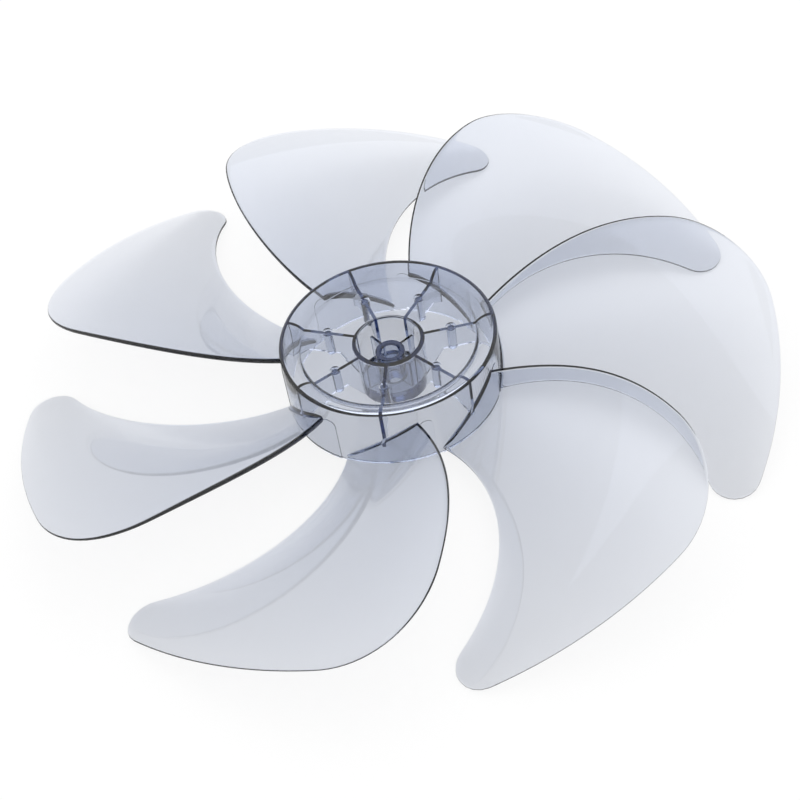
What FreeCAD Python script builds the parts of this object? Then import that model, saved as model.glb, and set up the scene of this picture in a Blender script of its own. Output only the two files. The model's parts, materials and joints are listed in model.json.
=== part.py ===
import FreeCAD, Part
import math
import os

os.makedirs("parts", exist_ok=True)

# Whole rotor, in millimetres and degrees; heights run up from the hub's open rear edge to its closed front
overall_diameter = 350.0
hub_diameter = 100.0
hub_height = 33.0
blade_count = 7
wall = 2.0

# Shell of the hub: a skirt, a rounded shoulder and a sunk front face
rim_round = 2.2
shoulder_width = 9.5
shoulder_fall = 3.6
face_thickness = 2.0
face_corner_round = 0.8
edge_chamfer = 0.4

# Centre: a deep well for the spinner nut, with the shaft bush and its fins inside
ring_diameter = 33.2
ring_wall = 1.8
ring_draft = 0.6
ring_floor = 7.0
shaft_diameter = 8.0
shaft_clearance = 0.06
bush_wall = 2.8
bush_height = 22.0
bore_chamfer = 0.8
fin_count = 4
fin_angle = 31.0
fin_thickness = 1.2
fin_gap = 1.3

# Ribs under the face, deeper toward the well and the skirt, and the ejector posts on them
rib_thickness = 1.6
rib_depth = 13.9
rib_well_reach = 8.0
rib_well_gap = 0.8
rib_skirt_gap = 8.8
post_inset = 11.3
post_diameter = 4.4
post_reach = 0.2

# Blade outline in plan, angles behind the leading root; both long edges bow toward the leading side
blade_angle = 20.8
leading_root_angle = 2.4
leading_tip_angle = 15.3
leading_bow = 17.3
leading_corner_round = 45.0
trailing_root_angle = 43.0
trailing_tip_angle = 69.5
trailing_bow = 34.3
tail_round = 11.4

# Blade twist at four sections, spaced evenly from the hub to the tip
section_heights = (10.8, 18.6, 26.4, 22.1)
section_pitch_angles = (32.2, 26.2, 19.2, 11.9)
section_arches = (2.5, 3.8, 3.4, 3.8)
middle_angle = 28.0
tail_angle = 60.0
leading_thickness_root = 2.7
leading_thickness_tip = 1.7
trailing_share = 0.6

# Mould parting step: a patch of the skirt under each blade stands slightly proud
patch_lead = 4.4
patch_height = 24.0
patch_round = 3.0
patch_step = 0.3

# Sizes that follow
hub_radius = hub_diameter / 2
tip_radius = overall_diameter / 2
blade_span = tip_radius - hub_radius
crest_radius = hub_radius - rim_round
face_radius = hub_radius - shoulder_width
face_height = hub_height - shoulder_fall
under_face = face_height - face_thickness
shoulder_run = crest_radius - face_radius
shoulder_radius = (shoulder_run ** 2 + shoulder_fall ** 2) / (2 * shoulder_fall)
shoulder_centre = hub_height - shoulder_radius
rib_edge_height = face_height - rib_depth
post_circle_radius = face_radius - post_inset
ring_radius = ring_diameter / 2
ring_inner = ring_radius - ring_wall
bore_radius = (shaft_diameter + shaft_clearance) / 2
bush_radius = bore_radius + bush_wall
overlap = wall / 2
face_margin = 3 * wall
tolerance = wall / 200
origin = FreeCAD.Vector(0, 0, 0)
up = FreeCAD.Vector(0, 0, 1)


def point(radius, height):
    """Point of a section through the shaft axis."""
    return FreeCAD.Vector(radius, 0, height)


def chain(*places):
    """Straight edges from one section point to the next."""
    return [Part.makeLine(point(*a), point(*b)) for a, b in zip(places, places[1:])]


def arc(centre_radius, centre_height, radius, start_angle, end_angle):
    """Arc in the section plane, angles in degrees from the outward direction."""
    places = []
    for angle in (start_angle, (start_angle + end_angle) / 2, end_angle):
        turn = math.radians(angle)
        places.append(point(centre_radius + radius * math.cos(turn), centre_height + radius * math.sin(turn)))
    return [Part.Arc(*places).toShape()]


def around(shape, count, first=0.0):
    """Copies of a shape spaced evenly round the shaft axis."""
    copies = []
    for index in range(count):
        copy = shape.copy()
        copy.rotate(origin, up, first + index * 360.0 / count)
        copies.append(copy)
    return copies


def circle_edges(shape, radius, height):
    """Circular edges of a turned shape at one radius and height."""
    found = []
    for edge in shape.Edges:
        curve = edge.Curve
        if not isinstance(curve, Part.Circle):
            continue
        if abs(curve.Radius - radius) < tolerance and abs(curve.Center.z - height) < tolerance:
            found.append(edge)
    return found


def shoulder_angle(depth, height):
    """Angle on the shoulder, at a depth below its skin, where it comes down to a height."""
    return 180 - math.degrees(math.asin((height - shoulder_centre) / (shoulder_radius - depth)))


def make_hub():
    """Turned hub: skirt, shoulder, face, well and bush in one section."""
    skirt_inner = hub_radius - wall
    under_radius = shoulder_radius - wall
    under_start = shoulder_angle(wall, under_face)
    under_end = math.degrees(math.acos((skirt_inner - crest_radius) / under_radius))
    under_edges = arc(crest_radius, shoulder_centre, under_radius, under_start, under_end)
    under_inner = crest_radius + under_radius * math.cos(math.radians(under_start))
    under_top = shoulder_centre + under_radius * math.sin(math.radians(under_end))
    edges = chain((hub_radius, 0), (hub_radius, hub_height - rim_round))
    edges += arc(crest_radius, hub_height - rim_round, rim_round, 0, 90)
    edges += arc(crest_radius, shoulder_centre, shoulder_radius, 90, shoulder_angle(0, face_height))
    edges += chain((face_radius, face_height), (ring_inner, face_height), (ring_inner, ring_floor),
                   (bush_radius, ring_floor), (bush_radius, bush_height),
                   (bore_radius + bore_chamfer, bush_height), (bore_radius, bush_height - bore_chamfer),
                   (bore_radius, 0), (ring_radius - ring_draft, 0), (ring_radius, under_face),
                   (under_inner, under_face))
    edges += under_edges
    edges += chain((skirt_inner, under_top), (skirt_inner, 0), (hub_radius, 0))
    hub = Part.Face(Part.Wire(edges)).revolve(origin, up, 360)
    hub = hub.makeFillet(face_corner_round, circle_edges(hub, face_radius, face_height))
    for radius, height in ((ring_inner, face_height), (hub_radius, 0)):
        hub = hub.makeChamfer(edge_chamfer, circle_edges(hub, radius, height))
    return hub


def plate(edges, thickness):
    """Flat web standing on the plane of a section, centred on it."""
    web = Part.Face(Part.Wire(edges)).extrude(FreeCAD.Vector(0, thickness, 0))
    web.translate(FreeCAD.Vector(0, -thickness / 2, 0))
    return web


def make_rib():
    """Radial rib under the face, from the well to the skirt, its top sunk in the face and shoulder."""
    inside = ring_radius - ring_wall / 2
    outside = hub_radius - overlap
    top = face_height - face_thickness / 2
    middle_radius = shoulder_radius - overlap
    start_angle = shoulder_angle(overlap, top)
    start = crest_radius + middle_radius * math.cos(math.radians(start_angle))
    edges = arc(crest_radius, shoulder_centre, middle_radius, start_angle, 90)
    edges += chain((crest_radius, shoulder_centre + middle_radius), (outside, hub_height - rim_round),
                   (outside, rib_skirt_gap), (face_radius, rib_edge_height),
                   (ring_radius + rib_well_reach, rib_edge_height), (inside, rib_well_gap),
                   (inside, top), (start, top))
    return plate(edges, rib_thickness)


def make_post():
    """Ejector post on a rib, hanging from the face."""
    foot = rib_edge_height - post_reach
    top = face_height - face_thickness / 2
    return Part.makeCylinder(post_diameter / 2, top - foot, point(post_circle_radius, foot))


def make_fin():
    """Fin on the shaft bush, ending short of the ring."""
    inner = bush_radius - bush_wall / 2
    reach = ring_inner - fin_gap
    foot = ring_floor / 2
    edges = chain((inner, bush_height), (reach, bush_height), (reach, foot), (inner, foot),
                  (inner, bush_height))
    return plate(edges, fin_thickness)


def between_sections(radius, values):
    """Smooth value at a radius from its values at the four blade sections."""
    place = (len(values) - 1) * (radius - hub_radius) / blade_span
    total = 0.0
    for own, value in enumerate(values):
        for other in range(len(values)):
            if other != own:
                value *= (place - other) / (own - other)
        total += value
    return total


def section_rises():
    """Fall of each blade section per degree, from its pitch angle."""
    rises = []
    for index, pitch_angle in enumerate(section_pitch_angles):
        radius = hub_radius + blade_span * index / (len(section_pitch_angles) - 1)
        rises.append(math.tan(math.radians(pitch_angle)) * math.radians(radius))
    return rises


def blade_height(radius, angle, side=0):
    """Height of the middle surface (side 0), the upper face (1) or the lower face (-1)."""
    rise = between_sections(radius, section_rises())
    behind = angle - middle_angle
    height = between_sections(radius, section_heights) - rise * behind
    height -= between_sections(radius, section_arches) * (behind / middle_angle) ** 2
    outward = (radius - hub_radius) / blade_span
    thickness = leading_thickness_root + (leading_thickness_tip - leading_thickness_root) * outward
    thickness *= 1 - (1 - trailing_share) * angle / tail_angle
    slope = rise / math.radians(radius)
    return height + side * thickness / 2 * math.sqrt(1 + slope ** 2)


def spread(first, last, count):
    """Evenly spaced values from first to last."""
    return [first + (last - first) * index / (count - 1) for index in range(count)]


def plan_point(radius, angle, height):
    """Point at an angle behind the leading root."""
    turn = math.radians(-angle)
    return FreeCAD.Vector(radius * math.cos(turn), radius * math.sin(turn), height)


def blade_face(side):
    """Twisted face through a square grid of points in plan, reaching past the outline on all sides."""
    centre_angle = (leading_root_angle + trailing_tip_angle) / 2
    half_angle = math.radians(trailing_tip_angle - centre_angle)
    inner = (hub_radius - overlap) * math.cos(half_angle) - face_margin
    side_reach = tip_radius * math.sin(half_angle) + face_margin
    rows = []
    for x in spread(inner, tip_radius + face_margin, 11):
        row = []
        for y in spread(-side_reach, side_reach, 15):
            angle = centre_angle + math.degrees(math.atan2(y, x))
            radius = math.hypot(x, y)
            row.append(plan_point(radius, angle, blade_height(radius, angle, side)))
        rows.append(row)
    surface = Part.BSplineSurface()
    surface.interpolate(rows)
    return surface.toShape()


def bowed(start, end, bow):
    """Arc in plan between two points, bowed toward the leading side."""
    along = (end - start).normalize()
    middle = (start + end) / 2 + FreeCAD.Vector(-along.y, along.x, 0) * bow
    return Part.Arc(start, middle, end).toShape()


def rim_arc(radius, first_angle, last_angle):
    """Arc round the shaft axis, below the blade."""
    angles = (first_angle, (first_angle + last_angle) / 2, last_angle)
    return Part.Arc(*[plan_point(radius, angle, -hub_height) for angle in angles]).toShape()


def make_blade():
    """One blade: the twisted slab inside its outline, both corners rounded."""
    root_radius = hub_radius - overlap
    lead_root = plan_point(root_radius, leading_root_angle, -hub_height)
    lead_tip = plan_point(tip_radius, leading_tip_angle, -hub_height)
    tail_tip = plan_point(tip_radius, trailing_tip_angle, -hub_height)
    tail_root = plan_point(root_radius, trailing_root_angle, -hub_height)
    outline = Part.Wire([
        bowed(lead_root, lead_tip, leading_bow),
        rim_arc(tip_radius, leading_tip_angle, trailing_tip_angle),
        bowed(tail_root, tail_tip, trailing_bow),
        rim_arc(root_radius, trailing_root_angle, leading_root_angle),
    ])
    prism = Part.Face(outline).extrude(FreeCAD.Vector(0, 0, 3 * hub_height))
    for corner, radius in ((lead_tip, leading_corner_round), (tail_tip, tail_round)):
        place = Part.Vertex(corner + up * hub_height)
        prism = prism.makeFillet(radius, [e for e in prism.Edges if e.distToShape(place)[0] < tolerance])
    upper = blade_face(1)
    lower = blade_face(-1)
    sides = [Part.makeRuledSurface(a, b) for a, b in zip(upper.Edges, lower.Edges)]
    slab = Part.Solid(Part.Shell([upper, lower] + sides))
    return slab.common(prism)


def make_patch():
    """Proud patch of the skirt under one blade, from its parting line back to the trailing root."""
    root_line = []
    for angle in spread(0, trailing_root_angle, 7):
        height = blade_height(hub_radius, angle)
        root_line.append(FreeCAD.Vector(0, plan_point(hub_radius, angle, 0).y, height))
    top = Part.BSplineCurve()
    top.interpolate(root_line)
    start, end = root_line[0], root_line[-1]
    corner_places = ((0, patch_height), (patch_lead, patch_height), (patch_lead, 0))
    corner = [FreeCAD.Vector(0, y, z) for y, z in corner_places]
    foot = FreeCAD.Vector(0, end.y, 0)
    border = Part.makePolygon([start] + corner + [foot, end]).Edges + [top.toShape()]
    block = Part.Face(Part.Wire(border)).extrude(FreeCAD.Vector(hub_diameter, 0, 0))
    place = Part.Vertex(FreeCAD.Vector(hub_radius, patch_lead, patch_height))
    block = block.makeFillet(patch_round, [e for e in block.Edges if e.distToShape(place)[0] < tolerance])
    skin = Part.makeCylinder(hub_radius + patch_step, patch_height)
    skin = skin.cut(Part.makeCylinder(hub_radius - overlap, patch_height))
    return skin.common(block)


added = around(make_rib(), blade_count)
added += around(make_post(), blade_count)
added += around(make_fin(), fin_count, fin_angle)
added += around(make_patch(), blade_count, blade_angle)
added += around(make_blade(), blade_count, blade_angle)
rotor = make_hub().fuse(added).removeSplitter().Solids[0]
rotor.exportStep("parts/fan_blade.step")
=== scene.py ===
import json
import math

import bpy
from mathutils import Matrix, Vector

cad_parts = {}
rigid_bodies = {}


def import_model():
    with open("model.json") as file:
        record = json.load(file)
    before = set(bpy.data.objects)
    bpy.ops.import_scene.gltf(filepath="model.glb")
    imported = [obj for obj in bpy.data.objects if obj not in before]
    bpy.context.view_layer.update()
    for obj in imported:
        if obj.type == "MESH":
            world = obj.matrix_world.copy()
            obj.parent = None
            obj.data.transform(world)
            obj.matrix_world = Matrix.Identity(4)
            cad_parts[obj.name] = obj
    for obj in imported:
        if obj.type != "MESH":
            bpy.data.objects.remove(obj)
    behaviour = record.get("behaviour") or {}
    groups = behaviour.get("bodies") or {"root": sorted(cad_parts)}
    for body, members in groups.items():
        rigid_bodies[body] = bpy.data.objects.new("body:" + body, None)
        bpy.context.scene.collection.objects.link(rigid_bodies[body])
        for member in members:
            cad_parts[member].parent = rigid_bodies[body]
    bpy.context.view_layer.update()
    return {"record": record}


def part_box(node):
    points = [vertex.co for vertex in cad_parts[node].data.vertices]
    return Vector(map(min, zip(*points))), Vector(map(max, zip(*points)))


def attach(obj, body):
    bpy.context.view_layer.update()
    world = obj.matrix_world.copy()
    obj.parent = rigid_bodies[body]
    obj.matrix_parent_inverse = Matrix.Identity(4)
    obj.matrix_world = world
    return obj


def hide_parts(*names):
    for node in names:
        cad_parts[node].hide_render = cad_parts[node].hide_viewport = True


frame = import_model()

bl_info = {
    "name": "Clear Fan Rotor",
    "version": (1, 0, 0),
    "blender": (4, 5, 0),
    "location": "3D View > Sidebar > Rotor",
    "description": "Builds a clear moulded fan rotor and its studio round a packed CAD frame",
    "category": "Object",
}

CAD_BODY = "root"
CAD_NODE = "fan_blade"
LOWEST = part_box(CAD_NODE)[0]
SHAFT_BORE = next(mount for mount in frame["record"]["mounts"] if mount["kind"] == "bore")


def length(name, description, default):
    """Property that holds a size in metres."""
    return bpy.props.FloatProperty(name=name, description=description, default=default, precision=4,
                                   unit="LENGTH")


def turn(name, description, degrees):
    """Property that holds an angle."""
    return bpy.props.FloatProperty(name=name, description=description, default=math.radians(degrees),
                                   subtype="ANGLE")


def tint(name, description, default):
    """Property that holds a linear colour."""
    return bpy.props.FloatVectorProperty(name=name, description=description, default=default, size=4,
                                         subtype="COLOR", min=0, max=1)


class HubSizes(bpy.types.PropertyGroup):
    """Sizes of the hub, its well, ribs and posts"""

    radius: length("Radius", "Outer radius of the skirt", 0.050)
    height: length("Height", "From the rear edge to the crest of the rim", 0.033)
    wall: length("Wall", "Thickness of skirt, shoulder and face", 0.002)
    rim_round: length("Rim round", "Radius of the rim's outer edge", 0.0022)
    shoulder_width: length("Shoulder width", "From the skirt to the face", 0.0095)
    shoulder_fall: length("Shoulder fall", "From the crest down to the face", 0.0036)
    face_corner: length("Face corner", "Radius of the corner between shoulder and face", 0.0008)
    corner_round: length("Corner round", "Radius of inner corners", 0.0012)
    edge_round: length("Edge round", "Radius of small outer edges", 0.0004)
    ring_radius: length("Ring radius", "Outer radius of the nut well", 0.0166)
    ring_wall: length("Ring wall", "Thickness of the well's wall", 0.0018)
    ring_draft: length("Ring draft", "Narrowing of the well toward the rear", 0.0006)
    ring_floor: length("Ring floor", "Thickness of the well's floor", 0.007)
    bore_radius: length("Bore radius", "Radius of the shaft bore", SHAFT_BORE["dims"]["r_mm"] / 1000)
    bore_chamfer: length("Bore chamfer", "Lead-in of the shaft bore", 0.0008)
    bush_wall: length("Bush wall", "Thickness of the shaft bush", 0.0028)
    bush_height: length("Bush height", "Height of the shaft bush", 0.022)
    fin_count: bpy.props.IntProperty(name="Fin count", description="Fins on the bush", default=4, min=1)
    fin_thickness: length("Fin thickness", "Thickness of the bush's fins", 0.0012)
    fin_gap: length("Fin gap", "From the fins to the well's wall", 0.0013)
    fin_turn: turn("Fin turn", "Direction of the first fin", 31.0)
    rib_thickness: length("Rib thickness", "Thickness of the ribs", 0.0016)
    rib_depth: length("Rib depth", "From the face down to the ribs' edges", 0.0139)
    well_reach: length("Well reach", "Reach of the ribs' deep part round the well", 0.008)
    well_gap: length("Well gap", "From the rear edge to the ribs at the well", 0.0008)
    skirt_gap: length("Skirt gap", "From the rear edge to the ribs at the skirt", 0.0088)
    post_inset: length("Post inset", "From the shoulder to the posts' axes", 0.0113)
    post_radius: length("Post radius", "Radius of the ejector posts", 0.0022)
    post_reach: length("Post reach", "Posts below the ribs' edges", 0.0002)
    sink_radius: length("Sink radius", "Radius of the sink marks over the posts", 0.0024)
    sink_depth: length("Sink depth", "Depth of the sink marks over the posts", 0.0008)


class BladeSizes(bpy.types.PropertyGroup):
    """Plan outline, thickness and roots of the blades"""

    count: bpy.props.IntProperty(name="Count", description="Blades, ribs and posts", default=7, min=2)
    tip_radius: length("Tip radius", "From the shaft axis to the blade tips", 0.175)
    first_turn: turn("First turn", "Direction of the first blade's leading root", 20.8)
    leading_root: turn("Leading root", "Leading edge at the hub", 2.4)
    leading_tip: turn("Leading tip", "Leading edge at the tip circle", 15.3)
    leading_bow: length("Leading bow", "Bow of the leading edge", 0.0173)
    leading_corner: length("Leading corner", "Radius of the leading corner", 0.045)
    trailing_root: turn("Trailing root", "Trailing edge at the hub", 43.0)
    trailing_tip: turn("Trailing tip", "Trailing edge at the tip circle", 69.5)
    trailing_bow: length("Trailing bow", "Bow of the trailing edge", 0.0343)
    tail_round: length("Tail round", "Radius of the tail corner", 0.0114)
    root_thickness: length("Root thickness", "Leading thickness at the hub", 0.0027)
    tip_thickness: length("Tip thickness", "Leading thickness at the tip", 0.0017)
    edge_round: length("Edge round", "Depth of the rounding along the edges", 0.0006)
    root_fillet: length("Root fillet", "Rounding along the upper side of the root", 0.002)
    patch_lead: length("Patch lead", "Parting line ahead of the leading root", 0.0044)
    patch_height: length("Patch height", "Top of the parting line", 0.024)
    patch_round: length("Patch round", "Corner of the parting line", 0.003)
    patch_step: length("Patch step", "Height of the parting step", 0.0003)


class FinishLook(bpy.types.PropertyGroup):
    """Colour and clearness of the plastic"""

    clear_tint: tint("Clear tint", "Surface tint of the plastic", (1.0, 1.0, 1.0, 1.0))
    flow_tint: tint("Flow tint", "Surface tint in the flow marks", (0.95, 0.955, 0.97, 1.0))
    inner_tint: tint("Inner tint", "Colour that is left of light deep in the plastic",
                     (0.035, 0.165, 0.44, 1.0))
    density: bpy.props.FloatProperty(name="Density", description="Absorption per metre", default=130.0)
    index: bpy.props.FloatProperty(name="Refractive index", description="Of styrene plastic", default=1.56)


class StageLook(bpy.types.PropertyGroup):
    """Floor, light and camera"""

    floor_tint: tint("Floor tint", "Colour of the floor", (0.95, 0.95, 0.95, 1.0))
    floor_glow: bpy.props.FloatProperty(name="Floor glow", default=0.85, min=0, max=1,
                                        description="Share of the bare shadow that is lit away")
    inner_glow: bpy.props.FloatProperty(name="Inner glow", default=0.54, min=0, max=1,
                                        description="The same, seen through the plastic")
    sky_tint: tint("Sky tint", "Colour of the surrounding light", (1.0, 1.0, 1.0, 1.0))
    sky_strength: bpy.props.FloatProperty(name="Sky strength", description="Level of the light", default=1.0)
    floor_size: length("Floor size", "Width of the floor", 8.0)
    lamp_energy: bpy.props.FloatProperty(name="Lamp power", description="Softbox, in watts", default=8.0)
    lamp_size: length("Lamp size", "Width of the softbox", 1.7)
    lamp_distance: length("Lamp distance", "From the hub to the softbox", 1.5)
    lamp_turn: turn("Lamp turn", "About the shaft axis, from straight behind", -20.0)
    lamp_elevation: turn("Lamp elevation", "Above the horizon", 50.0)
    lens: bpy.props.FloatProperty(name="Lens", description="Focal length in millimetres", default=75.43)
    camera_distance: length("Camera distance", "From the aim point", 0.7603)
    camera_turn: turn("Camera turn", "About the shaft axis", -2.13)
    camera_elevation: turn("Camera elevation", "Above the horizon", 46.51)
    camera_roll: turn("Camera roll", "About the line of sight", -10.14)
    aim_height: length("Aim height", "Height on the shaft axis that the aim is measured from", 0.032)
    aim_across: length("Aim across", "Aim point along the picture's width", 0.00584)
    aim_up: length("Aim up", "Aim point along the picture's height", -0.02955)


# Blade surface at four sections, spaced evenly from the hub to the tip: height, pitch and arch
SECTION_HEIGHTS = (0.0108, 0.0186, 0.0264, 0.0221)
SECTION_PITCHES = (32.2, 26.2, 19.2, 11.9)
SECTION_ARCHES = (0.0025, 0.0038, 0.0034, 0.0038)

# Angles of the blade's middle and tail behind the leading root, and the share of thickness left at the tail
MIDDLE_TURN = math.radians(28.0)
TAIL_TURN = math.radians(60.0)
TRAILING_SHARE = 0.6

# Forms that are repeated round the shaft
FORMS = ("Blade", "Fillet", "Patch", "Rib", "Post", "Sink", "Fin")

# Share of the root fillet that is gone at its two ends, and how late the fading sets in
FILLET_FADE = 0.9
FILLET_POWER = 8

# Arc of the cap that cuts a sink mark, against the arc that lies below the face
SINK_REACH = 1.5

# Angle from which an edge is shaded sharp
SHARP_ANGLE = math.radians(25)

# Flow marks and haze of the plastic: fineness of the noise, share of tint, relief and roughness
FLOW_SCALE = 24.0
FLOW_DETAIL = 3.0
FLOW_SHARE = 0.6
FLOW_STRENGTH = 0.04
FLOW_DEPTH = 0.0005
HAZE_SCALE = 160.0
HAZE_DETAIL = 2.0
LEAST_ROUGHNESS = 0.01
HAZE_ROUGHNESS = 0.03

# Sockets of the Mix node when it mixes colours
MIX_FACTOR = 0
MIX_FIRST = 6
MIX_SECOND = 7
MIX_RESULT = 2

# Width of the camera's sensor in millimetres
SENSOR_WIDTH = 36.0

# Slack when lengths along an outline are compared
SLACK = 1e-9

# Fineness of the meshes
CHORD_STEPS = 40
SPAN_STEPS = 48
EDGE_STEPS = 5
ROUND_STEPS = 6
TURN_STEPS = 224
POST_STEPS = 32


def sizes():
    """Hub and blade sizes of the scene."""
    return bpy.context.scene.rotor_hub, bpy.context.scene.rotor_blade


def mesh_object(name, points, faces):
    """New object with a mesh of these points and faces."""
    mesh = bpy.data.meshes.new(name)
    mesh.from_pydata(points, [], faces)
    mesh.update()
    made = bpy.data.objects.new(name, mesh)
    bpy.context.scene.collection.objects.link(made)
    return made


def on_circle(centre, radius, angle):
    """Point on a circle of a flat section or plan."""
    return centre + Vector((math.cos(angle), math.sin(angle))) * radius


def swing(centre, radius, first, last, steps):
    """Points along an arc, angles in degrees."""
    angles = [first + (last - first) * i / steps for i in range(steps + 1)]
    return [on_circle(centre, radius, math.radians(angle)) for angle in angles]


def softened(corners):
    """Chain of points through corners given as radius, height and rounding; the two ends stay sharp."""
    chain = [Vector(corners[0][:2])]
    for before, here, after in zip(corners, corners[1:], corners[2:]):
        corner = Vector(here[:2])
        back = (Vector(before[:2]) - corner).normalized()
        ahead = (Vector(after[:2]) - corner).normalized()
        if not here[2]:
            chain.append(corner)
            continue
        half = back.angle(ahead) / 2
        centre = corner + (back + ahead).normalized() * here[2] / math.sin(half)
        start = corner + back * here[2] / math.tan(half) - centre
        end = corner + ahead * here[2] / math.tan(half) - centre
        for step in range(ROUND_STEPS + 1):
            share = step / ROUND_STEPS
            chain.append(centre + start.slerp(end, share).normalized() * here[2])
    chain.append(Vector(corners[-1][:2]))
    return chain


def lathe(name, profile, steps):
    """Closed profile of radius and height, turned about the shaft axis."""
    points = []
    for step in range(steps):
        angle = 2 * math.pi * step / steps
        for place in profile:
            points.append(Vector((place.x * math.cos(angle), place.x * math.sin(angle), place.y)))
    count = len(profile)
    faces = []
    for step in range(steps):
        own = step * count
        other = (step + 1) % steps * count
        for i in range(count):
            j = (i + 1) % count
            faces.append((own + i, other + i, other + j, own + j))
    return mesh_object(name, points, faces)


def spun(name, profile, steps, centre):
    """Profile that starts and ends on an upright axis, turned about it."""
    points = [centre + Vector((0, 0, place.y)) for place in (profile[0], profile[-1])]
    rings = profile[1:-1]
    for step in range(steps):
        angle = 2 * math.pi * step / steps
        for place in rings:
            points.append(centre + Vector((place.x * math.cos(angle), place.x * math.sin(angle), place.y)))
    last = len(rings) - 1
    faces = []
    for step in range(steps):
        own = 2 + step * len(rings)
        other = 2 + (step + 1) % steps * len(rings)
        faces.append((0, other, own))
        for i in range(last):
            faces.append((own + i, other + i, other + i + 1, own + i + 1))
        faces.append((own + last, other + last, 1))
    return mesh_object(name, points, faces)


def prism(name, outline, thickness):
    """Plate with an outline of radius and height, centred on the plane of the first rib."""
    points = []
    for side in (-thickness / 2, thickness / 2):
        points += [Vector((place.x, side, place.y)) for place in outline]
    count = len(outline)
    faces = [tuple(range(count))[::-1], tuple(range(count, 2 * count))]
    for i in range(count):
        j = (i + 1) % count
        faces.append((i, j, count + j, count + i))
    return mesh_object(name, points, faces)


class HubSection:
    """Radii and heights that the hub's section and the ribs share."""

    def __init__(self, hub):
        self.crest = hub.radius - hub.rim_round
        self.face = hub.radius - hub.shoulder_width
        self.face_height = hub.height - hub.shoulder_fall
        self.under_face = self.face_height - hub.wall
        run = self.crest - self.face
        self.shoulder = (run ** 2 + hub.shoulder_fall ** 2) / (2 * hub.shoulder_fall)
        self.centre = Vector((self.crest, hub.height - self.shoulder))
        self.rib_edge = self.face_height - hub.rib_depth
        self.posts = Vector((self.face - hub.post_inset, 0, 0))

    def angle_at(self, depth, height):
        """Angle on the shoulder, at a depth below its skin, where it comes down to a height."""
        return 180 - math.degrees(math.asin((height - self.centre.y) / (self.shoulder - depth)))


def hub_profile(hub):
    """Section of the hub: face, well, bush, shoulder and skirt."""
    section = HubSection(hub)
    skirt = hub.radius - hub.wall
    ring_inner = hub.ring_radius - hub.ring_wall
    bush = hub.bore_radius + hub.bush_wall
    small = hub.edge_round
    corner = hub.face_corner
    corner_rise = section.face_height + corner - section.centre.y
    corner_run = math.sqrt((section.shoulder + corner) ** 2 - corner_rise ** 2)
    corner_centre = section.centre + Vector((-corner_run, corner_rise))
    corner_angle = math.degrees(math.atan2(corner_rise, -corner_run))
    under = section.shoulder - hub.wall
    under_arc = swing(section.centre, under, section.angle_at(hub.wall, section.under_face),
                      math.degrees(math.acos((skirt - section.crest) / under)), 2 * ROUND_STEPS)
    profile = softened([
        (corner_centre.x, section.face_height, 0), (ring_inner, section.face_height, small),
        (ring_inner, hub.ring_floor, hub.corner_round), (bush, hub.ring_floor, hub.corner_round),
        (bush, hub.bush_height, small), (hub.bore_radius + hub.bore_chamfer, hub.bush_height, 0),
        (hub.bore_radius, hub.bush_height - hub.bore_chamfer, 0), (hub.bore_radius, 0, 0),
        (hub.ring_radius - hub.ring_draft, 0, small), (hub.ring_radius, section.under_face, small),
        (*under_arc[0], 0),
    ])
    profile += under_arc[1:-1]
    profile += softened([(*under_arc[-1], 0), (skirt, 0, small), (hub.radius, 0, small),
                         (hub.radius, hub.height - hub.rim_round, 0)])
    rim_centre = Vector((section.crest, hub.height - hub.rim_round))
    profile += swing(rim_centre, hub.rim_round, 0, 90, 2 * ROUND_STEPS)[1:]
    profile += swing(section.centre, section.shoulder, 90, corner_angle, 2 * ROUND_STEPS)[1:]
    profile += swing(corner_centre, corner, corner_angle - 180, -90, ROUND_STEPS)[1:-1]
    return profile


def between_sections(place, values):
    """Smooth value at a share of the span from its values at the four blade sections."""
    place *= len(values) - 1
    total = 0.0
    for own, value in enumerate(values):
        for other in range(len(values)):
            if other != own:
                value *= (place - other) / (own - other)
        total += value
    return total


def blade_at(hub, blade, place):
    """Height of a blade's middle surface over a plan point, and half its thickness measured upright."""
    radius = place.length
    angle = math.atan2(-place.y, place.x)
    span = blade.tip_radius - hub.radius
    outward = (radius - hub.radius) / span
    steps = len(SECTION_PITCHES) - 1
    rises = []
    for index, pitch in enumerate(SECTION_PITCHES):
        rises.append(math.tan(math.radians(pitch)) * (hub.radius + span * index / steps))
    rise = between_sections(outward, rises)
    behind = angle - MIDDLE_TURN
    height = between_sections(outward, SECTION_HEIGHTS) - rise * behind
    height -= between_sections(outward, SECTION_ARCHES) * (behind / MIDDLE_TURN) ** 2
    thickness = blade.root_thickness + (blade.tip_thickness - blade.root_thickness) * outward
    thickness *= 1 - (1 - TRAILING_SHARE) * angle / TAIL_TURN
    return height, thickness / 2 * math.hypot(1, rise / radius)


def behind_root(radius, angle):
    """Plan point at an angle behind the leading root."""
    return Vector((radius * math.cos(angle), -radius * math.sin(angle)))


def bowed(start, end, bow):
    """Centre and radius of the arc between two plan points, bowed toward the leading side."""
    chord = end - start
    radius = (chord.length_squared / 4 + bow ** 2) / (2 * bow)
    side = Vector((-chord.y, chord.x)).normalized()
    return (start + end) / 2 + side * (bow - radius), radius


def meet(first, first_radius, second, second_radius, near):
    """Crossing of two circles that is nearest to a given point."""
    line = second - first
    gap = line.length
    along = (first_radius ** 2 - second_radius ** 2 + gap ** 2) / (2 * gap)
    across = math.sqrt(first_radius ** 2 - along ** 2)
    line.normalize()
    side = Vector((-line.y, line.x))
    crossings = [first + line * along + side * across, first + line * along - side * across]
    return min(crossings, key=lambda place: (place - near).length)


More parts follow.
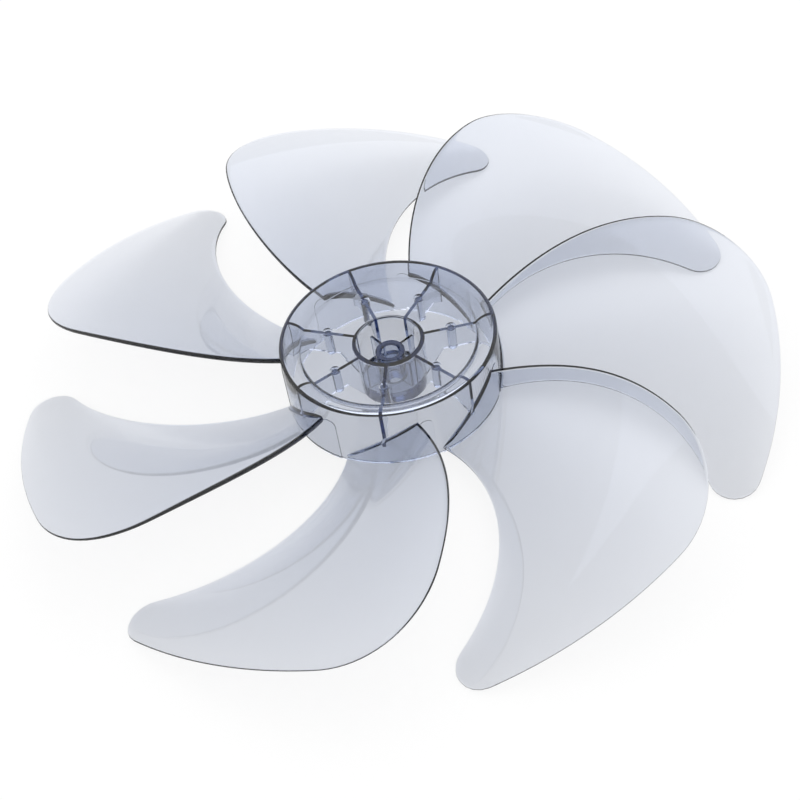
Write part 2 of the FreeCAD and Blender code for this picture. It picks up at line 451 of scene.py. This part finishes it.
def walk(arcs, steps):
    """Evenly spaced points along arcs, each given as centre, start and end."""
    spans = []
    for centre, start, end in arcs:
        sweep = (start - centre).angle_signed(end - centre)
        spans.append((centre, start - centre, sweep, abs(sweep) * (start - centre).length))
    whole = sum(span[3] for span in spans)
    points = []
    for step in range(steps + 1):
        left = whole * step / steps
        for centre, arm, sweep, reach in spans:
            if left <= reach + SLACK:
                break
            left -= reach
        turned = Matrix.Rotation(-sweep * min(left / reach, 1), 2) @ arm
        points.append(centre + turned)
    return points


class BladeOutline:
    """Plan outline of one blade, from which narrower outlines can be taken."""

    def __init__(self, hub, blade):
        self.hub = hub
        self.blade = blade
        self.middle = Vector((0, 0))
        self.root = hub.radius - hub.wall / 2
        self.lead_root = behind_root(self.root, blade.leading_root)
        self.tail_root = behind_root(self.root, blade.trailing_root)
        lead_tip = behind_root(blade.tip_radius, blade.leading_tip)
        tail_tip = behind_root(blade.tip_radius, blade.trailing_tip)
        self.lead, self.lead_radius = bowed(self.lead_root, lead_tip, blade.leading_bow)
        self.trail, self.trail_radius = bowed(self.tail_root, tail_tip, blade.trailing_bow)
        self.corner = meet(self.middle, blade.tip_radius - blade.leading_corner,
                           self.lead, self.lead_radius - blade.leading_corner, lead_tip)
        self.tail = meet(self.middle, blade.tip_radius - blade.tail_round,
                         self.trail, self.trail_radius + blade.tail_round, tail_tip)

    def sides(self, inset):
        """Points of the leading, tip, trailing and root sides, the outline drawn in by an inset."""
        blade = self.blade
        tip = blade.tip_radius - inset
        root = self.root + inset
        lead_root = meet(self.middle, root, self.lead, self.lead_radius - inset, self.lead_root)
        tail_root = meet(self.middle, root, self.trail, self.trail_radius + inset, self.tail_root)
        lead_end = self.lead + (self.corner - self.lead).normalized() * (self.lead_radius - inset)
        corner_end = self.corner.normalized() * tip
        tail_start = self.tail.normalized() * tip
        trail_end = self.trail + (self.tail - self.trail).normalized() * (self.trail_radius + inset)
        corner_out = (lead_end - self.corner).normalized() + (corner_end - self.corner).normalized()
        corner_middle = self.corner + corner_out.normalized() * (blade.leading_corner - inset)
        tail_out = (tail_start - self.tail).normalized() + (trail_end - self.tail).normalized()
        tail_middle = self.tail + tail_out.normalized() * (blade.tail_round - inset)
        leading = walk([(self.lead, lead_root, lead_end), (self.corner, lead_end, corner_middle)], SPAN_STEPS)
        tip_side = walk([(self.corner, corner_middle, corner_end), (self.middle, corner_end, tail_start),
                         (self.tail, tail_start, tail_middle)], CHORD_STEPS)
        trailing = walk([(self.trail, tail_root, trail_end), (self.tail, trail_end, tail_middle)], SPAN_STEPS)
        root_side = walk([(self.middle, lead_root, tail_root)], CHORD_STEPS)
        return leading, tip_side, trailing, root_side


def filled(leading, tip, trailing, root):
    """Grid of plan points between four sides, by chord step and span step."""
    grid = []
    for i in range(CHORD_STEPS + 1):
        u = i / CHORD_STEPS
        column = []
        for j in range(SPAN_STEPS + 1):
            v = j / SPAN_STEPS
            place = leading[j] * (1 - u) + trailing[j] * u + root[i] * (1 - v) + tip[i] * v
            place -= (leading[0] * (1 - u) + trailing[0] * u) * (1 - v)
            place -= (leading[-1] * (1 - u) + trailing[-1] * u) * v
            column.append(place)
        grid.append(column)
    return grid


def blade_mesh(hub, blade):
    """One blade as a closed shell: two twisted faces that meet in a rounded edge all round."""
    outline = BladeOutline(hub, blade)
    points = []
    faces = []
    rings = []

    def add(place, share):
        """Number of a new point over a plan point, at a share of half the thickness."""
        height, half = blade_at(hub, blade, place)
        points.append((place.x, place.y, height + half * share))
        return len(points) - 1

    for step in range(EDGE_STEPS):
        bend = math.pi / 2 * step / EDGE_STEPS
        leading, tip, trailing, root = outline.sides(blade.edge_round * (1 - math.cos(bend)))
        loop = leading[:-1] + tip[:-1] + trailing[:0:-1] + root[:0:-1]
        upper = [add(place, math.sin(bend)) for place in loop]
        lower = [add(place, -math.sin(bend)) for place in loop] if step else upper
        rings.append((upper, lower))
    grid = filled(*outline.sides(blade.edge_round))
    last_chord, last_span = CHORD_STEPS, SPAN_STEPS
    border = [(0, j) for j in range(last_span)] + [(i, last_span) for i in range(last_chord)]
    border += [(last_chord, j) for j in range(last_span, 0, -1)] + [(i, 0) for i in range(last_chord, 0, -1)]
    for side in (1, -1):
        numbers = [[add(place, side) for place in column] for column in grid]
        loops = [ring[0 if side > 0 else 1] for ring in rings] + [[numbers[i][j] for i, j in border]]
        for i in range(last_chord):
            for j in range(last_span):
                corners = (numbers[i][j], numbers[i][j + 1], numbers[i + 1][j + 1], numbers[i + 1][j])
                faces.append(corners[::-side])
        for outer, inner in zip(loops, loops[1:]):
            for k in range(len(outer)):
                n = (k + 1) % len(outer)
                faces.append((outer[k], outer[n], inner[n], inner[k])[::-side])
    return mesh_object("blade_form", points, faces)


def fillet_mesh(hub, blade):
    """Rounding along the upper side of one blade's root, fading toward its ends."""
    inner = hub.radius - hub.wall / 2
    sink = blade.edge_round
    points = []
    for step in range(CHORD_STEPS + 1):
        share = step / CHORD_STEPS
        angle = blade.leading_root + (blade.trailing_root - blade.leading_root) * share
        size = blade.root_fillet * (1 - FILLET_FADE * (2 * share - 1) ** FILLET_POWER)
        section = [Vector((inner, -sink)), Vector((hub.radius + size, -sink))]
        section += swing(Vector((hub.radius + size, size)), size, -90, -180, ROUND_STEPS)
        section.append(Vector((inner, size)))
        for radius, rise in section:
            place = behind_root(radius, angle)
            height, half = blade_at(hub, blade, place)
            points.append((place.x, place.y, height + half + rise))
    count = len(section)
    faces = [tuple(range(count))[::-1]]
    for step in range(CHORD_STEPS):
        own = count * step
        for i in range(count):
            j = (i + 1) % count
            faces.append((own + i, own + j, own + count + j, own + count + i))
    faces.append(tuple(range(count * CHORD_STEPS, count * CHORD_STEPS + count)))
    return mesh_object("fillet_form", points, faces)


def patch_mesh(hub, blade):
    """Slightly proud patch of the skirt under one blade, from its parting line to the trailing root."""
    columns = []
    lead = blade.patch_lead / hub.radius
    corner = blade.patch_round / hub.radius
    for step in range(2 * ROUND_STEPS + 1):
        bend = math.pi / 2 * step / (2 * ROUND_STEPS)
        columns.append((-lead + corner * (1 - math.cos(bend)),
                        blade.patch_height - blade.patch_round * (1 - math.sin(bend))))
    columns.append((0, blade.patch_height))
    for step in range(1, CHORD_STEPS + 1):
        angle = blade.trailing_root * step / CHORD_STEPS
        columns.append((angle, blade_at(hub, blade, behind_root(hub.radius, angle))[0]))
    points = []
    for angle, top in columns:
        for radius, height in ((hub.radius - hub.wall / 2, 0), (hub.radius + blade.patch_step, 0),
                               (hub.radius + blade.patch_step, top), (hub.radius - hub.wall / 2, top)):
            place = behind_root(radius, angle)
            points.append((place.x, place.y, height))
    faces = [(3, 2, 1, 0)]
    for step in range(len(columns) - 1):
        own = 4 * step
        for i in range(4):
            j = (i + 1) % 4
            faces.append((own + i, own + j, own + 4 + j, own + 4 + i))
    end = 4 * (len(columns) - 1)
    faces.append((end, end + 1, end + 2, end + 3))
    return mesh_object("patch_form", points, faces)


def rib_mesh(hub):
    """Radial rib under the face, its top sunk in the face and the shoulder."""
    section = HubSection(hub)
    inside = hub.ring_radius - hub.ring_wall / 2
    outside = hub.radius - hub.wall / 2
    top = section.face_height - hub.wall / 2
    outline = [Vector((inside, top))]
    outline += swing(section.centre, section.shoulder - hub.wall / 2, section.angle_at(hub.wall / 2, top), 90,
                     ROUND_STEPS)
    for corner in ((outside, hub.height - hub.rim_round), (outside, hub.skirt_gap),
                   (section.face, section.rib_edge),
                   (hub.ring_radius + hub.well_reach, section.rib_edge), (inside, hub.well_gap)):
        outline.append(Vector(corner))
    return prism("rib_form", outline, hub.rib_thickness)


def post_mesh(hub):
    """Ejector post that hangs from the face."""
    section = HubSection(hub)
    low = section.rib_edge - hub.post_reach
    top = section.face_height - hub.wall / 2
    profile = softened([(0, low, 0), (hub.post_radius, low, hub.edge_round / 2),
                        (hub.post_radius, top, 0), (0, top, 0)])
    return spun("post_form", profile, POST_STEPS, section.posts)


def sink_mesh(hub):
    """Shallow cap that is taken out of the face as a sink mark over a post."""
    section = HubSection(hub)
    ball = (hub.sink_radius ** 2 + hub.sink_depth ** 2) / (2 * hub.sink_depth)
    centre = Vector((0, section.face_height - hub.sink_depth + ball))
    reach = SINK_REACH * math.degrees(math.asin(hub.sink_radius / ball))
    profile = swing(centre, ball, -90, reach - 90, 2 * ROUND_STEPS)
    profile.append(Vector((0, profile[-1].y)))
    return spun("sink_form", profile, POST_STEPS, section.posts)


def fin_mesh(hub):
    """Fin on the shaft bush, ending short of the well's wall."""
    inner = hub.bore_radius + hub.bush_wall / 2
    reach = hub.ring_radius - hub.ring_wall - hub.fin_gap
    outline = [Vector((inner, hub.bush_height)), Vector((reach, hub.bush_height)),
               Vector((reach, hub.ring_floor / 2)), Vector((inner, hub.ring_floor / 2))]
    return prism("fin_form", outline, hub.fin_thickness)


def node_in(tree, kind, settings=None, inputs=None):
    """New node with its settings made first and its sockets given values or links."""
    node = tree.nodes.new(kind)
    for name, value in (settings or {}).items():
        setattr(node, name, value)
    for key, value in (inputs or {}).items():
        socket = node.inputs[key]
        for item in value if isinstance(value, list) else [value]:
            if isinstance(item, bpy.types.NodeSocket):
                tree.links.new(item, socket)
            else:
                socket.default_value = item
    return node


def rotor_tree():
    """Geometry nodes that repeat the forms round the shaft axis and join them into one shell."""
    tree = bpy.data.node_groups.new("Rotor", "GeometryNodeTree")
    tree.interface.new_socket("Hub", in_out="INPUT", socket_type="NodeSocketGeometry")
    for name in FORMS:
        tree.interface.new_socket(name, in_out="INPUT", socket_type="NodeSocketObject")
    for name in ("Blade count", "Fin count"):
        tree.interface.new_socket(name, in_out="INPUT", socket_type="NodeSocketInt")
    for name in ("Blade turn", "Fin turn"):
        tree.interface.new_socket(name, in_out="INPUT", socket_type="NodeSocketFloat")
    tree.interface.new_socket("Plastic", in_out="INPUT", socket_type="NodeSocketMaterial")
    tree.interface.new_socket("Rotor", in_out="OUTPUT", socket_type="NodeSocketGeometry")
    given = node_in(tree, "NodeGroupInput").outputs

    def repeated(form, count, first):
        """Copies of a form spaced evenly round the axis."""
        shape = node_in(tree, "GeometryNodeObjectInfo", {"transform_space": "ORIGINAL"},
                        {"Object": given[form]})
        spots = node_in(tree, "GeometryNodePoints", None, {"Count": given[count]})
        index = node_in(tree, "GeometryNodeInputIndex")
        share = node_in(tree, "ShaderNodeMath", {"operation": "DIVIDE"},
                        {0: index.outputs[0], 1: given[count]})
        angle = node_in(tree, "ShaderNodeMath", {"operation": "MULTIPLY_ADD"},
                        {0: share.outputs[0], 1: 2 * math.pi, 2: given[first] if first else 0.0})
        turned = node_in(tree, "FunctionNodeAxisAngleToRotation", None,
                         {"Axis": (0, 0, 1), "Angle": angle.outputs[0]})
        copies = node_in(tree, "GeometryNodeInstanceOnPoints", None,
                         {"Points": spots.outputs[0], "Instance": shape.outputs["Geometry"],
                          "Rotation": turned.outputs[0]})
        return node_in(tree, "GeometryNodeRealizeInstances", None, {0: copies.outputs[0]}).outputs[0]

    forms = [given["Hub"]]
    for form in ("Rib", "Post"):
        forms.append(repeated(form, "Blade count", None))
    for form in ("Patch", "Blade", "Fillet"):
        forms.append(repeated(form, "Blade count", "Blade turn"))
    forms.append(repeated("Fin", "Fin count", "Fin turn"))
    joined = node_in(tree, "GeometryNodeMeshBoolean", {"operation": "UNION", "solver": "MANIFOLD"},
                     {"Mesh 2": forms})
    marked = node_in(tree, "GeometryNodeMeshBoolean", {"operation": "DIFFERENCE", "solver": "MANIFOLD"},
                     {"Mesh 1": joined.outputs[0], "Mesh 2": repeated("Sink", "Blade count", None)})
    whole = node_in(tree, "GeometryNodeRealizeInstances", None, {0: marked.outputs[0]})
    finished = node_in(tree, "GeometryNodeSetMaterial", None,
                       {"Geometry": whole.outputs[0], "Material": given["Plastic"]})
    node_in(tree, "NodeGroupOutput", None, {0: finished.outputs[0]})
    return tree


class Shade:
    """Shader socket that takes part in sums and products, and makes other nodes."""

    def __init__(self, tree, socket=None):
        self.tree = tree
        self.socket = socket

    def node(self, kind, settings=None, inputs=None, output=0):
        """Another node of the tree, as one of its outputs."""
        plain = {}
        for key, value in (inputs or {}).items():
            plain[key] = value.socket if isinstance(value, Shade) else value
        made = node_in(self.tree, kind, settings, plain)
        return Shade(self.tree, made.outputs[output] if made.outputs else None)

    def sum(self, operation, first, second):
        """Maths node with two values."""
        return self.node("ShaderNodeMath", {"operation": operation}, {0: first, 1: second})

    def __add__(self, other):
        return self.sum("ADD", self, other)

    def __mul__(self, other):
        return self.sum("MULTIPLY", self, other)

    __radd__ = __add__
    __rmul__ = __mul__


def clear_plastic(look):
    """Glossy clear plastic: tinted by its depth, with faint flow marks from moulding."""
    material = bpy.data.materials.new("clear_smoky_plastic")
    material.use_nodes = True
    tree = material.node_tree
    tree.nodes.clear()
    start = Shade(tree)
    place = start.node("ShaderNodeTexCoord", output="Object")
    flow = start.node("ShaderNodeTexNoise", None,
                      {"Vector": place, "Scale": FLOW_SCALE, "Detail": FLOW_DETAIL})
    haze = start.node("ShaderNodeTexNoise", None,
                      {"Vector": place, "Scale": HAZE_SCALE, "Detail": HAZE_DETAIL})
    colour = start.node("ShaderNodeMix", {"data_type": "RGBA"},
                        {MIX_FACTOR: flow * FLOW_SHARE, MIX_FIRST: tuple(look.clear_tint),
                         MIX_SECOND: tuple(look.flow_tint)}, MIX_RESULT)
    bump = start.node("ShaderNodeBump", None,
                      {"Strength": FLOW_STRENGTH, "Distance": FLOW_DEPTH, "Height": flow})
    surface = start.node("ShaderNodeBsdfPrincipled", None, {
        "Base Color": colour, "Roughness": LEAST_ROUGHNESS + haze * HAZE_ROUGHNESS, "IOR": look.index,
        "Transmission Weight": 1.0, "Normal": bump})
    inside = start.node("ShaderNodeVolumeAbsorption", None,
                        {"Color": tuple(look.inner_tint), "Density": look.density})
    start.node("ShaderNodeOutputMaterial", None, {"Surface": surface, "Volume": inside})
    return material


class ROTOR_OT_hub(bpy.types.Operator):
    """Makes the turned hub and one fin of its bush"""

    bl_idname = "rotor.hub"
    bl_label = "Make Hub"

    def execute(self, context):
        hub = context.scene.rotor_hub
        lathe("hub_form", hub_profile(hub), TURN_STEPS)
        fin_mesh(hub)
        return {"FINISHED"}


class ROTOR_OT_ribs(bpy.types.Operator):
    """Makes one rib with its ejector post and the sink mark over it"""

    bl_idname = "rotor.ribs"
    bl_label = "Make Ribs"

    def execute(self, context):
        hub = context.scene.rotor_hub
        rib_mesh(hub)
        post_mesh(hub)
        sink_mesh(hub)
        return {"FINISHED"}


class ROTOR_OT_blades(bpy.types.Operator):
    """Makes one blade, its root fillet and the parting step under it"""

    bl_idname = "rotor.blades"
    bl_label = "Make Blades"

    def execute(self, context):
        hub, blade = sizes()
        blade_mesh(hub, blade)
        fillet_mesh(hub, blade)
        patch_mesh(hub, blade)
        return {"FINISHED"}


class ROTOR_OT_join(bpy.types.Operator):
    """Repeats the forms round the shaft and joins them into one clear moulding"""

    bl_idname = "rotor.join"
    bl_label = "Join Moulding"

    def execute(self, context):
        hub, blade = sizes()
        scene = context.scene
        carrier = bpy.data.objects["hub_form"]
        modifier = carrier.modifiers.new("Rotor", "NODES")
        modifier.node_group = rotor_tree()
        values = {"Blade count": blade.count, "Fin count": hub.fin_count, "Blade turn": blade.first_turn,
                  "Fin turn": hub.fin_turn, "Plastic": clear_plastic(scene.rotor_finish)}
        for name in FORMS:
            values[name] = bpy.data.objects[name.lower() + "_form"]
        for socket in modifier.node_group.interface.items_tree:
            if socket.name in values and socket.in_out == "INPUT":
                modifier[socket.identifier] = values[socket.name]
        context.view_layer.update()
        whole = carrier.evaluated_get(context.evaluated_depsgraph_get())
        mesh = bpy.data.meshes.new_from_object(whole)
        for form in [item for item in scene.objects if item.name.endswith("_form")]:
            bpy.data.objects.remove(form)
        mesh.shade_smooth()
        mesh.set_sharp_from_angle(angle=SHARP_ANGLE)
        mesh.name = "moulded_rotor"
        rotor = bpy.data.objects.new("moulded_rotor", mesh)
        scene.collection.objects.link(rotor)
        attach(rotor, CAD_BODY)
        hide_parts(CAD_NODE)
        return {"FINISHED"}


def ray_kind(start, kind):
    """One for the named kind of ray, nought for others."""
    return start.node("ShaderNodeLightPath", None, None, "Is " + kind + " Ray")


def floor_material(look):
    """Matt white floor that looks nearly as bright as the backdrop and keeps a faint shadow."""
    material = bpy.data.materials.new("studio_floor")
    material.use_nodes = True
    tree = material.node_tree
    tree.nodes.clear()
    start = Shade(tree)
    matt = start.node("ShaderNodeBsdfDiffuse", None, {"Color": tuple(look.floor_tint)})
    glow = start.node("ShaderNodeEmission", None, {"Color": tuple(look.sky_tint), "Strength": 1.0})
    bare = ray_kind(start, "Camera") * look.floor_glow
    inner = start.sum("MAXIMUM", ray_kind(start, "Glossy"), ray_kind(start, "Transmission")) * look.inner_glow
    surface = start.node("ShaderNodeMixShader", None,
                         {0: start.sum("MAXIMUM", bare, inner), 1: matt, 2: glow})
    start.node("ShaderNodeOutputMaterial", None, {"Surface": surface})
    return material


class ROTOR_OT_stage(bpy.types.Operator):
    """Sets the floor, the soft light and the camera"""

    bl_idname = "rotor.stage"
    bl_label = "Set Stage"

    def execute(self, context):
        scene = context.scene
        look = scene.rotor_stage
        half = look.floor_size / 2
        floor = mesh_object("studio_floor", [(-half, -half, LOWEST.z), (half, -half, LOWEST.z),
                                             (half, half, LOWEST.z), (-half, half, LOWEST.z)], [(0, 1, 2, 3)])
        floor.data.materials.append(floor_material(look))
        world = bpy.data.worlds.new("studio_light")
        world.use_nodes = True
        world.node_tree.nodes.clear()
        start = Shade(world.node_tree)
        sky = start.node("ShaderNodeBackground", None,
                         {"Color": tuple(look.sky_tint), "Strength": look.sky_strength})
        start.node("ShaderNodeOutputWorld", None, {"Surface": sky})
        scene.world = world
        self.add_lamp(scene, look)
        self.add_camera(scene, look)
        scene.view_settings.view_transform = "Standard"
        return {"FINISHED"}

    def add_lamp(self, scene, look):
        """Softbox behind the rotor, so that its shadow falls toward the camera."""
        lean = look.lamp_elevation
        away = Matrix.Rotation(look.lamp_turn, 3, "Z") @ Vector((0, math.cos(lean), math.sin(lean)))
        lamp = bpy.data.objects.new("softbox", bpy.data.lights.new("softbox", "AREA"))
        lamp.data.energy = look.lamp_energy
        lamp.data.size = look.lamp_size
        lamp.location = away * look.lamp_distance
        lamp.visible_glossy = False
        lamp.rotation_euler = away.to_track_quat("Z", "Y").to_euler()
        scene.collection.objects.link(lamp)

    def add_camera(self, scene, look):
        """Camera at the picture's angle, aimed beside the middle of the hub's crest."""
        turned = Matrix.Rotation(look.camera_turn, 3, "Z")
        lean = look.camera_elevation
        back = turned @ Vector((0, -math.cos(lean), math.sin(lean)))
        right = turned @ Vector((1, 0, 0))
        rise = back.cross(right)
        roll = Matrix.Rotation(look.camera_roll, 3, back)
        right = roll @ right
        rise = roll @ rise
        aim = Vector((0, 0, look.aim_height)) + right * look.aim_across + rise * look.aim_up
        camera = bpy.data.objects.new("camera", bpy.data.cameras.new("camera"))
        camera.data.lens = look.lens
        camera.data.sensor_width = SENSOR_WIDTH
        placed = Matrix((right, rise, back)).transposed().to_4x4()
        placed.translation = aim + back * look.camera_distance
        camera.matrix_world = placed
        scene.collection.objects.link(camera)
        scene.camera = camera


class ROTOR_PT_panel(bpy.types.Panel):
    """Sidebar panel with every setting and every step"""

    bl_idname = "ROTOR_PT_panel"
    bl_label = "Clear Fan Rotor"
    bl_space_type = "VIEW_3D"
    bl_region_type = "UI"
    bl_category = "Rotor"

    def draw(self, context):
        layout = self.layout
        for group in GROUPS:
            settings = getattr(context.scene, group)
            box = layout.box()
            for name in settings.__annotations__:
                box.prop(settings, name)
        for operator in OPERATORS:
            layout.operator(operator.bl_idname)


OPERATORS = (ROTOR_OT_hub, ROTOR_OT_ribs, ROTOR_OT_blades, ROTOR_OT_join, ROTOR_OT_stage)
GROUPS = {"rotor_hub": HubSizes, "rotor_blade": BladeSizes, "rotor_finish": FinishLook,
          "rotor_stage": StageLook}


def register():
    """Adds the settings, the steps and the panel."""
    for group in (*GROUPS.values(), *OPERATORS, ROTOR_PT_panel):
        bpy.utils.register_class(group)
    for name, group in GROUPS.items():
        setattr(bpy.types.Scene, name, bpy.props.PointerProperty(type=group))


def unregister():
    """Takes them away again."""
    for name in GROUPS:
        delattr(bpy.types.Scene, name)
    for group in reversed((*GROUPS.values(), *OPERATORS, ROTOR_PT_panel)):
        bpy.utils.unregister_class(group)


def main():
    """Builds the rotor and its studio."""
    register()
    bpy.ops.rotor.hub()
    bpy.ops.rotor.ribs()
    bpy.ops.rotor.blades()
    bpy.ops.rotor.join()
    bpy.ops.rotor.stage()


if __name__ == "__main__":
    main()
